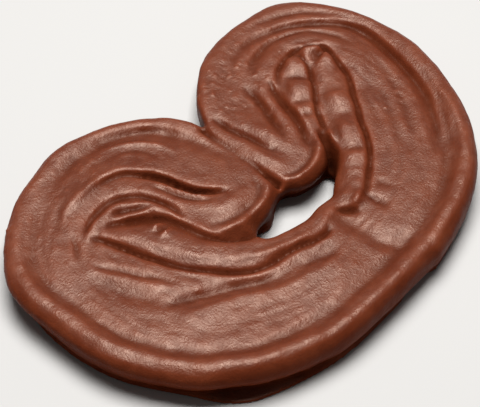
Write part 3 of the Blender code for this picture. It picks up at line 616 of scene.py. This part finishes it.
def thin_underside(piece, settings):
    """Fewer faces on the flat underside, which needs no fine mesh."""
    places, normals = places_of(piece.data), normals_of(piece.data)
    under = np.flatnonzero((places[:, 2] < UNDERSIDE_LEVEL) & (normals[:, 2] < UNDERSIDE_FACING))
    group = piece.vertex_groups.new(name="underside")
    group.add(under.tolist(), 1.0, "REPLACE")
    thin = piece.modifiers.new("thin_underside", "DECIMATE")
    thin.vertex_group = group.name
    thin.ratio = 1 - len(under) / len(places) * UNDERSIDE_THINNING
    take_mesh(piece, mesh_of(piece))
    piece.vertex_groups.clear()
    faces = piece.data.polygons
    facing_of_faces = np.empty(len(faces) * 3)
    faces.foreach_get("normal", facing_of_faces)
    faces.foreach_set("use_smooth", facing_of_faces[2::3] > UNDERSIDE_FACING)


def set_in_frame(mesh):
    """Turns the plan's millimetres into metres, centred on the node's box and no larger than it."""
    low, high = np.array(LOW_CORNER), np.array(HIGH_CORNER)
    centre = np.append((low + high)[:2] / 2, low[2])
    places = (places_of(mesh) - (*PLAN_MIDDLE, 0)) * MM
    places[:, 2] -= places[:, 2].min()
    room = np.minimum(high - centre, np.append((centre - low)[:2], np.inf)) - FRAME_CLEARANCE
    reach = np.abs(places).max(axis=0)
    move_to(mesh, places * np.minimum(room / reach, 1) + centre)


def shader_node(nodes, kind, place, **sockets):
    """Adds a node at a place in the node editor, with some of its input sockets set."""
    node = nodes.new(kind)
    node.location = place
    for name, value in sockets.items():
        node.inputs[name].default_value = value
    return node


def milk_chocolate(settings):
    """Set milk chocolate: a fatty satin sheen over a fine grain, paler and darker in soft clouds, with painted light
    on crests and painted shade in hollows, in the hole and on upright walls.
    """
    material = bpy.data.materials.new("milk_chocolate_coat")
    material.use_nodes = True
    nodes, links = material.node_tree.nodes, material.node_tree.links
    shader = nodes["Principled BSDF"]
    shader.inputs["IOR"].default_value = 1.5
    shader.inputs["Specular Tint"].default_value = (*settings.gloss_tint, 1)
    shader.inputs["Subsurface Weight"].default_value = settings.translucency
    shader.inputs["Subsurface Radius"].default_value = (1.0, 0.35, 0.15)
    shader.inputs["Subsurface Scale"].default_value = 0.0006
    place = shader_node(nodes, "ShaderNodeTexCoord", (-1500, 0)).outputs["Object"]

    clouds = shader_node(nodes, "ShaderNodeTexNoise", (-1200, 300), Scale=140.0, Detail=5.0, Roughness=0.6)
    links.new(place, clouds.inputs["Vector"])
    tone = nodes.new("ShaderNodeValToRGB")
    tone.location = (-950, 300)
    tone.color_ramp.elements[0].position = 0.3
    tone.color_ramp.elements[0].color = (*settings.deep_colour, 1)
    tone.color_ramp.elements[1].position = 0.7
    tone.color_ramp.elements[1].color = (*settings.pale_colour, 1)
    links.new(clouds.outputs["Fac"], tone.inputs["Fac"])

    # Painted light and shade: crests standing above their smoothed surroundings are painted paler, hollows darker,
    # and the hole's lower walls darkest, where shade would fall.
    crest = shader_node(nodes, "ShaderNodeAttribute", (-1200, 700))
    crest.attribute_name = "crest"
    shade = shader_node(nodes, "ShaderNodeMapRange", (-950, 700))
    paler = settings.crest_light_and_shade / 2
    shade.inputs["From Min"].default_value = -1.0 - HOLE_PAINTED_SHADE
    shade.inputs["From Max"].default_value = 1.0
    shade.inputs["To Min"].default_value = 1 - settings.crest_light_and_shade - HOLE_PAINTED_SHADE * 1.5 * paler
    shade.inputs["To Max"].default_value = 1 + paler
    links.new(crest.outputs["Fac"], shade.inputs["Value"])
    relief_shaded = nodes.new("ShaderNodeVectorMath")
    relief_shaded.location = (-600, 500)
    relief_shaded.operation = "SCALE"
    links.new(tone.outputs["Color"], relief_shaded.inputs[0])
    links.new(shade.outputs["Result"], relief_shaded.inputs["Scale"])

    # Painted shade on upright walls: the less a place faces up, the darker and redder its colour.
    upward = shader_node(nodes, "ShaderNodeAttribute", (-1200, 1000))
    upward.attribute_name = "upward"
    wall_shade_ramp = nodes.new("ShaderNodeValToRGB")
    wall_shade_ramp.location = (-950, 500)
    wall_shade_ramp.color_ramp.elements[0].color = (*settings.wall_shade_tint, 1)
    wall_shade_ramp.color_ramp.elements[1].color = (1, 1, 1, 1)
    links.new(upward.outputs["Fac"], wall_shade_ramp.inputs["Fac"])
    wall_shaded = nodes.new("ShaderNodeVectorMath")
    wall_shaded.location = (-350, 500)
    wall_shaded.operation = "MULTIPLY"
    links.new(relief_shaded.outputs["Vector"], wall_shaded.inputs[0])
    links.new(wall_shade_ramp.outputs["Color"], wall_shaded.inputs[1])
    links.new(wall_shaded.outputs["Vector"], shader.inputs["Base Color"])
    # Painted shade on upright walls: the less a place faces up, the weaker its reflections.
    upright_gloss = shader_node(nodes, "ShaderNodeMapRange", (-950, 1000))
    upright_gloss.inputs["From Min"].default_value = GLOSSY_FROM
    upright_gloss.inputs["To Min"].default_value = settings.wall_gloss
    upright_gloss.inputs["To Max"].default_value = settings.gloss
    links.new(upward.outputs["Fac"], upright_gloss.inputs["Value"])
    # Painted shade in hollows: their reflections are weakened.
    shelter = shader_node(nodes, "ShaderNodeMapRange", (-950, 1300))
    shelter.inputs["From Min"].default_value = -HOLLOW_GLOSS_SHADE
    shelter.inputs["From Max"].default_value = 0.0
    links.new(crest.outputs["Fac"], shelter.inputs["Value"])
    glossy = nodes.new("ShaderNodeMath")
    glossy.location = (-600, 1100)
    glossy.operation = "MULTIPLY"
    links.new(upright_gloss.outputs["Result"], glossy.inputs[0])
    links.new(shelter.outputs["Result"], glossy.inputs[1])
    links.new(glossy.outputs["Value"], shader.inputs["Specular IOR Level"])

    patches = shader_node(nodes, "ShaderNodeTexNoise", (-1200, 0), Scale=420.0, Detail=4.0, Roughness=0.6)
    links.new(place, patches.inputs["Vector"])
    sheen = shader_node(nodes, "ShaderNodeMapRange", (-950, 0))
    sheen.inputs["From Min"].default_value = 0.3
    sheen.inputs["From Max"].default_value = 0.7
    sheen.inputs["To Min"].default_value = settings.roughness - 0.08
    sheen.inputs["To Max"].default_value = settings.roughness + 0.12
    links.new(patches.outputs["Fac"], sheen.inputs["Value"])
    links.new(sheen.outputs["Result"], shader.inputs["Roughness"])

    grain = shader_node(nodes, "ShaderNodeTexNoise", (-1200, -300), Scale=1900.0, Detail=3.0, Roughness=0.55)
    links.new(place, grain.inputs["Vector"])
    lumps = shader_node(nodes, "ShaderNodeTexNoise", (-1200, -550), Scale=900.0, Detail=3.0, Roughness=0.5)
    links.new(place, lumps.inputs["Vector"])
    fine = shader_node(nodes, "ShaderNodeBump", (-600, -300), Strength=1.0, Distance=settings.grain)
    links.new(grain.outputs["Fac"], fine.inputs["Height"])
    coarse = shader_node(nodes, "ShaderNodeBump", (-350, -450), Strength=1.0, Distance=settings.lump)
    links.new(lumps.outputs["Fac"], coarse.inputs["Height"])
    links.new(fine.outputs["Normal"], coarse.inputs["Normal"])
    links.new(coarse.outputs["Normal"], shader.inputs["Normal"])
    return material


def plain_floor(settings):
    """Plain matt paper under the pastry."""
    material = bpy.data.materials.new("pale_paper")
    material.use_nodes = True
    shader = material.node_tree.nodes["Principled BSDF"]
    shader.inputs["Base Color"].default_value = (*settings.floor_colour, 1)
    shader.inputs["Roughness"].default_value = 0.9
    shader.inputs["Specular IOR Level"].default_value = 0.2
    return material


def facing(azimuth, elevation):
    """The direction from the pastry towards something seen at an azimuth and an elevation."""
    level = math.cos(elevation)
    return Vector((math.sin(azimuth) * level, -math.cos(azimuth) * level, math.sin(elevation)))


class PastrySettings(bpy.types.PropertyGroup):
    """Sizes of the rolled dough and of its coat's unevenness."""

    band_height: bpy.props.FloatProperty(
        name="Band height", description="Height of the flat bands between the folds",
        default=9.4 * MM, unit="LENGTH", precision=5)
    hole_rounding: bpy.props.FloatProperty(
        name="Hole rounding", description="Radius of the hole's upper edge",
        default=2.8 * MM, unit="LENGTH", precision=5)
    fold_depth: bpy.props.FloatProperty(
        name="Fold depth", description="Factor on the height of every fold", default=1.0)
    rim_height: bpy.props.FloatProperty(
        name="Rim height", description="Factor on the height of the raised rim", default=1.0)
    waver: bpy.props.FloatProperty(
        name="Waver", description="How far the folds stray from their lines",
        default=0.4 * MM, unit="LENGTH", precision=5)
    swell: bpy.props.FloatProperty(
        name="Swell", description="Height of the long waves of the dough",
        default=0.3 * MM, unit="LENGTH", precision=5)
    coat_unevenness: bpy.props.FloatProperty(
        name="Coat unevenness", description="Factor on the coat's waves and grain", default=1.0)
    pimple_height: bpy.props.FloatProperty(
        name="Pimples", description="Factor on the height of the coat's pimples", default=1.0)
    first_voxel: bpy.props.FloatProperty(
        name="First skin", description="Square size of the skin that takes the folds",
        default=0.45 * MM, unit="LENGTH", precision=5)
    final_voxel: bpy.props.FloatProperty(
        name="Final skin", description="Square size of the finished skin",
        default=0.44 * MM, unit="LENGTH", precision=5)
    seed: bpy.props.IntProperty(name="Seed", description="Start of the pimples' random places", default=7)


class ChocolateSettings(bpy.types.PropertyGroup):
    """Finish of the coat."""

    pale_colour: bpy.props.FloatVectorProperty(
        name="Pale tone", description="The chocolate where its clouds are palest",
        default=(0.147, 0.0345, 0.0145), subtype="COLOR")
    deep_colour: bpy.props.FloatVectorProperty(
        name="Deep tone", description="The chocolate where its clouds are deepest",
        default=(0.104, 0.0205, 0.0078), subtype="COLOR")
    gloss: bpy.props.FloatProperty(
        name="Gloss", description="Strength of the reflections", default=0.6, subtype="FACTOR")
    # Painted shade: upright walls are coloured darker and redder than the tops.
    wall_shade_tint: bpy.props.FloatVectorProperty(
        name="Wall tint", description="Factor on the colour of upright walls, which glow redder",
        default=(0.9, 0.71, 0.53), min=0, max=1, subtype="COLOR")
    # Painted shade: upright walls get weaker reflections than the tops.
    wall_gloss: bpy.props.FloatProperty(
        name="Wall gloss", description="Strength of the reflections on upright walls", default=0.03,
        subtype="FACTOR")
    # Painted light and shade: how much paler the crests and darker the hollows are painted.
    crest_light_and_shade: bpy.props.FloatProperty(
        name="Crest contrast", description="How much paler crests and deeper hollows are", default=0.5,
        subtype="FACTOR")
    gloss_tint: bpy.props.FloatVectorProperty(
        name="Gloss tint", description="Tint that the cocoa butter gives to the reflections",
        default=(1.0, 0.75, 0.61), subtype="COLOR")
    roughness: bpy.props.FloatProperty(
        name="Roughness", description="Middle roughness of the satin surface", default=0.4, subtype="FACTOR")
    translucency: bpy.props.FloatProperty(
        name="Translucency", description="Share of light scattered below the surface", default=0.06,
        subtype="FACTOR")
    grain: bpy.props.FloatProperty(
        name="Grain", description="Height of the finest grain", default=0.12 * MM, unit="LENGTH", precision=6)
    lump: bpy.props.FloatProperty(
        name="Lumps", description="Height of the grain a millimetre wide", default=0.075 * MM, unit="LENGTH",
        precision=6)


class StageSettings(bpy.types.PropertyGroup):
    """Camera, light and floor."""

    camera_azimuth: bpy.props.FloatProperty(
        name="Camera azimuth", description="Way that the camera stands round, from the front",
        default=math.radians(-50.5), subtype="ANGLE")
    camera_elevation: bpy.props.FloatProperty(
        name="Camera elevation", description="How high the camera looks down from",
        default=math.radians(47.5), subtype="ANGLE")
    camera_distance: bpy.props.FloatProperty(
        name="Camera distance", description="From the camera to where it aims", default=0.42, unit="LENGTH")
    lens: bpy.props.FloatProperty(name="Lens", description="Focal length, in millimetres", default=140.1)
    light_elevation: bpy.props.FloatProperty(
        name="Light elevation", description="Height of the soft light, behind the pastry",
        default=math.radians(83), subtype="ANGLE")
    light_turn: bpy.props.FloatProperty(
        name="Light turn", description="Way that the light stands to the side of straight behind",
        default=math.radians(0), subtype="ANGLE")
    light_distance: bpy.props.FloatProperty(
        name="Light distance", description="From the light to the pastry", default=0.7, unit="LENGTH")
    light_size: bpy.props.FloatProperty(
        name="Light size", description="Side of the square soft light", default=0.4, unit="LENGTH")
    light_power: bpy.props.FloatProperty(
        name="Light power", description="Strength of the soft light, in watts", default=9.2)
    room_light: bpy.props.FloatProperty(
        name="Room light", description="Strength of the light from all round", default=0.1)
    floor_colour: bpy.props.FloatVectorProperty(
        name="Floor colour", description="Colour of the floor", default=(0.5, 0.49, 0.475), subtype="COLOR")


class PALMIER_OT_add_pastry(bpy.types.Operator):
    """Adds the coated pastry in place of its plain solid"""

    bl_idname = "palmier.add_pastry"
    bl_label = "Coated Pastry"

    def execute(self, context):
        settings = context.scene.palmier_pastry
        mesh = bpy.data.meshes.new("coated_palmier")
        shell = blank_shell(settings)
        shell.to_mesh(mesh)
        shell.free()
        piece = bpy.data.objects.new("coated_palmier", mesh)
        context.collection.objects.link(piece)
        reskin(piece, settings.first_voxel / MM, 2)
        raise_relief(piece.data, settings)
        reskin(piece, settings.final_voxel / MM, 3)
        roughen(piece.data, settings)
        note_hollows(piece)
        piece.data.shade_smooth()
        thin_underside(piece, settings)
        set_in_frame(piece.data)
        piece.data.materials.clear()
        piece.data.materials.append(milk_chocolate(context.scene.palmier_chocolate))
        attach(piece, "root")
        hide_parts(NODE)
        return {"FINISHED"}


class PALMIER_OT_add_stage(bpy.types.Operator):
    """Adds the floor, the soft light and the camera"""

    bl_idname = "palmier.add_stage"
    bl_label = "Studio Stage"

    def execute(self, context):
        settings = context.scene.palmier_stage
        scene = context.scene
        low, high = (Vector(corner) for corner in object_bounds())
        middle = (low + high) / 2

        ground = bmesh.new()
        bmesh.ops.create_grid(ground, x_segments=1, y_segments=1, size=FLOOR_REACH)
        bmesh.ops.translate(ground, verts=ground.verts, vec=(middle.x, middle.y, low.z))
        mesh = bpy.data.meshes.new("floor")
        ground.to_mesh(mesh)
        ground.free()
        mesh.materials.append(plain_floor(settings))
        floor = bpy.data.objects.new("floor", mesh)
        context.collection.objects.link(floor)
        floor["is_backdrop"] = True

        behind = facing(settings.camera_azimuth + math.pi + settings.light_turn, settings.light_elevation)
        panel = bpy.data.lights.new("soft_panel", "AREA")
        panel.shape = "SQUARE"
        panel.size = settings.light_size
        panel.energy = settings.light_power
        light = bpy.data.objects.new("soft_panel", panel)
        light.location = middle + behind * settings.light_distance
        light.rotation_euler = behind.to_track_quat("Z", "Y").to_euler()
        context.collection.objects.link(light)

        world = bpy.data.worlds.new("pale_room")
        world.use_nodes = True
        world.node_tree.nodes["Background"].inputs["Strength"].default_value = settings.room_light
        world.node_tree.nodes["Background"].inputs["Color"].default_value = (1, 1, 1, 1)
        scene.world = world
        scene.view_settings.view_transform = "Standard"

        towards = facing(settings.camera_azimuth, settings.camera_elevation)
        lens = bpy.data.cameras.new("view")
        lens.lens = settings.lens
        lens.clip_start = 0.01
        camera = bpy.data.objects.new("view", lens)
        camera.location = Vector(CAMERA_AIM) + towards * settings.camera_distance
        camera.rotation_euler = towards.to_track_quat("Z", "Y").to_euler()
        context.collection.objects.link(camera)
        scene.camera = camera
        return {"FINISHED"}


class VIEW3D_PT_palmier(bpy.types.Panel):
    """Lists the settings and the operators"""

    bl_label = "Coated Palmier"
    bl_space_type = "VIEW_3D"
    bl_region_type = "UI"
    bl_category = "Palmier"

    def draw(self, context):
        for group, operator in PANEL_ROWS:
            box = self.layout.box()
            settings = getattr(context.scene, group)
            for name in settings.__annotations__:
                box.prop(settings, name)
            if operator:
                box.operator(operator)


PANEL_ROWS = (
    ("palmier_chocolate", None),
    ("palmier_pastry", "palmier.add_pastry"),
    ("palmier_stage", "palmier.add_stage"),
)
GROUPS = {
    "palmier_pastry": PastrySettings,
    "palmier_chocolate": ChocolateSettings,
    "palmier_stage": StageSettings,
}
CLASSES = (*GROUPS.values(), PALMIER_OT_add_pastry, PALMIER_OT_add_stage, VIEW3D_PT_palmier)


def register():
    """Makes the classes and the scene's settings known to Blender."""
    for kind in CLASSES:
        bpy.utils.register_class(kind)
    for name, kind in GROUPS.items():
        setattr(bpy.types.Scene, name, bpy.props.PointerProperty(type=kind))


def unregister():
    """Takes the settings and the classes away again."""
    for name in GROUPS:
        delattr(bpy.types.Scene, name)
    for kind in reversed(CLASSES):
        bpy.utils.unregister_class(kind)


def main():
    """Builds the pastry and the stage."""
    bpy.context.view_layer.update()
    register()
    bpy.ops.palmier.add_pastry()
    bpy.ops.palmier.add_stage()


if __name__ == "__main__":
    main()
